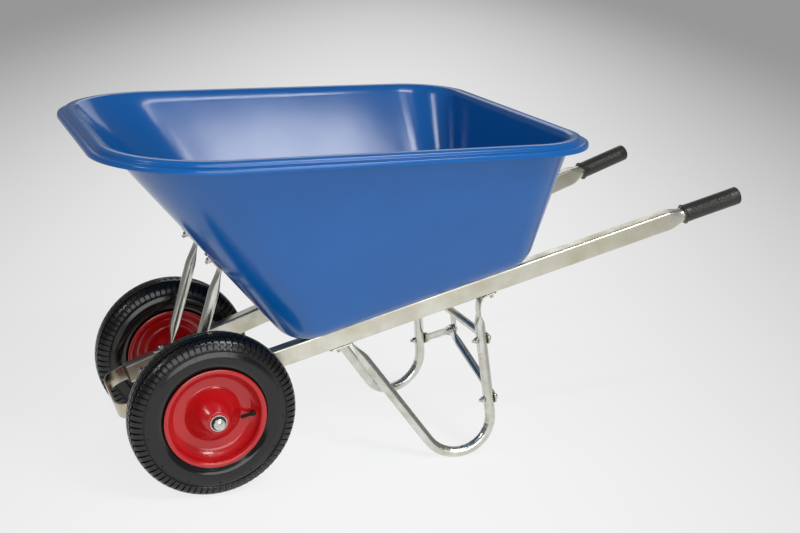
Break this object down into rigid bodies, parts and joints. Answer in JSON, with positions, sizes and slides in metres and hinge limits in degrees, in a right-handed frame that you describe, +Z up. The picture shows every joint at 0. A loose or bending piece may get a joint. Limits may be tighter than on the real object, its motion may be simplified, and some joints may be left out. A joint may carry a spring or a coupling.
{
  "type": "wheelbarrow",
  "caption": "Two wheel wheelbarrow with a deep moulded tray, splayed box rails swaged to round handles, bent tube legs and freely turning pressed wheels with pneumatic tyres.",
  "frame": {"origin": "middle of the bounding box on the ground", "axes": "+X from the wheels to the grips, +Y to the right of the person who pushes it, +Z up"},
  "size_m": [1.5456, 0.91, 0.7976],
  "materials": {
    "tray_plastic": "smooth moulded blue plastic with a soft gloss",
    "zinc_steel": "zinc plated steel tube and strip with a faint yellow and green tint",
    "bright_steel": "bright zinc plated steel",
    "grip_rubber": "ribbed black rubber",
    "tyre_rubber": "black tyre rubber",
    "tube_rubber": "black rubber",
    "rim_paint": "glossy red paint",
    "bush_plastic": "black nylon"
  },
  "bodies": {
    "chassis": {"tray": "tray_plastic", "rail_left": "zinc_steel", "rail_right": "zinc_steel", "nose_bar": "zinc_steel", "strut_left": "zinc_steel", "strut_right": "zinc_steel", "leg_left": "zinc_steel", "leg_right": "zinc_steel", "cross_bar": "zinc_steel", "brace_left": "zinc_steel", "brace_right": "zinc_steel", "saddle_left": "zinc_steel", "saddle_right": "zinc_steel", "axle": "bright_steel", "spacer_left": "bright_steel", "spacer_right": "bright_steel", "cap_left": "bright_steel", "cap_right": "bright_steel", "floor_bolts": "bright_steel", "saddle_bolts": "bright_steel", "nose_bolts": "bright_steel", "strut_bolts": "bright_steel", "brace_bolts": "bright_steel", "centre_bolt": "bright_steel", "grip_left": "grip_rubber", "grip_right": "grip_rubber"},
    "wheel_left": {"tyre_left": "tyre_rubber", "inner_tube_left": "tube_rubber", "rim_outer_left": "rim_paint", "rim_inner_left": "rim_paint", "hub_left": "rim_paint", "bush_outer_left": "bush_plastic", "bush_inner_left": "bush_plastic", "valve_left": "tube_rubber"},
    "wheel_right": {"tyre_right": "tyre_rubber", "inner_tube_right": "tube_rubber", "rim_outer_right": "rim_paint", "rim_inner_right": "rim_paint", "hub_right": "rim_paint", "bush_outer_right": "bush_plastic", "bush_inner_right": "bush_plastic", "valve_right": "tube_rubber"}
  },
  "joints": [
    {"name": "wheel_left_spin", "type": "hinge", "parent": "chassis", "child": "wheel_left", "pos_m": [-0.52381, -0.2085, 0.187], "axis": [0, 1, 0], "continuous": true},
    {"name": "wheel_right_spin", "type": "hinge", "parent": "chassis", "child": "wheel_right", "pos_m": [-0.52381, 0.2085, 0.187], "axis": [0, 1, 0], "continuous": true}
  ]
}
